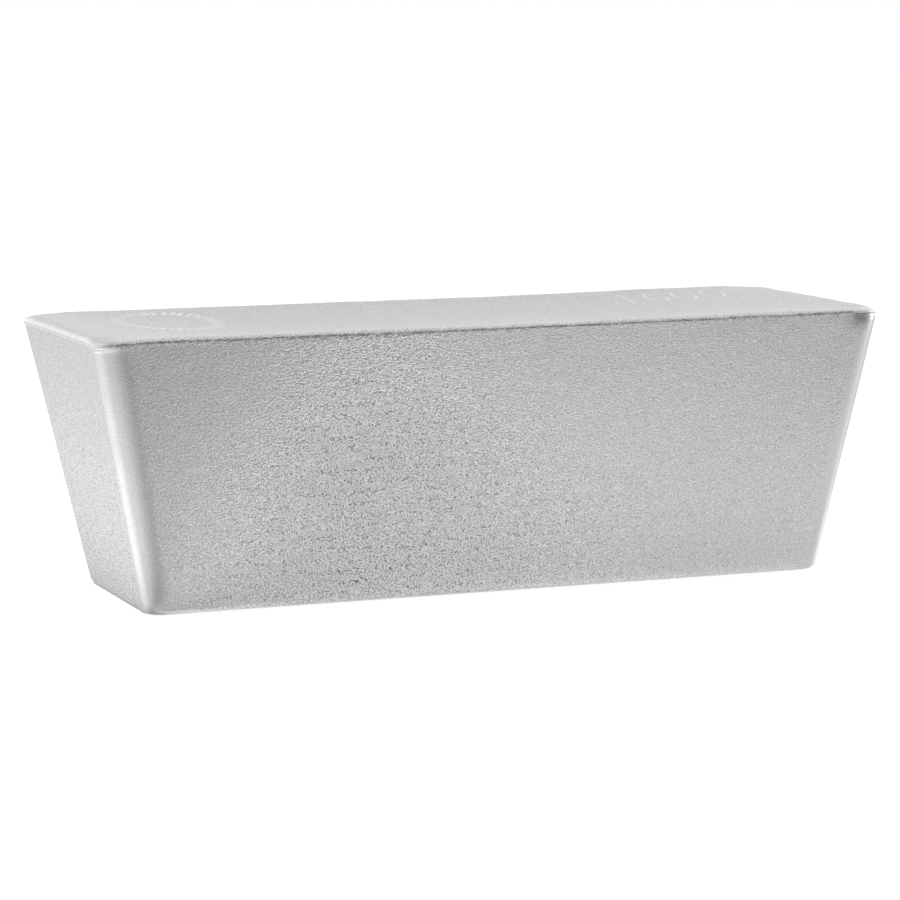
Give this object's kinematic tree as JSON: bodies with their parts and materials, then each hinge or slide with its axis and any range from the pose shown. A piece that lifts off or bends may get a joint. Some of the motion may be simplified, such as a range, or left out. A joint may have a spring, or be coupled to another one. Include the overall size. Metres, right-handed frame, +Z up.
{
  "type": "metal ingot",
  "caption": "Solid cast silver ingot: long tapered bar with drafted walls, rounded corners, a soft rim round the top and a shallow dished shrinkage hollow, standing on its narrow flat base.",
  "frame": {"origin": "centre of the flat base, at the level it rests on", "axes": "+X along the bar's length, +Y across it, +Z up from the narrow base to the wide open-mould face"},
  "size_m": [0.308, 0.1194, 0.1022],
  "materials": {
    "cast_silver": "satin"
  },
  "bodies": {
    "root": {"ingot": "cast_silver"}
  },
  "joints": []
}
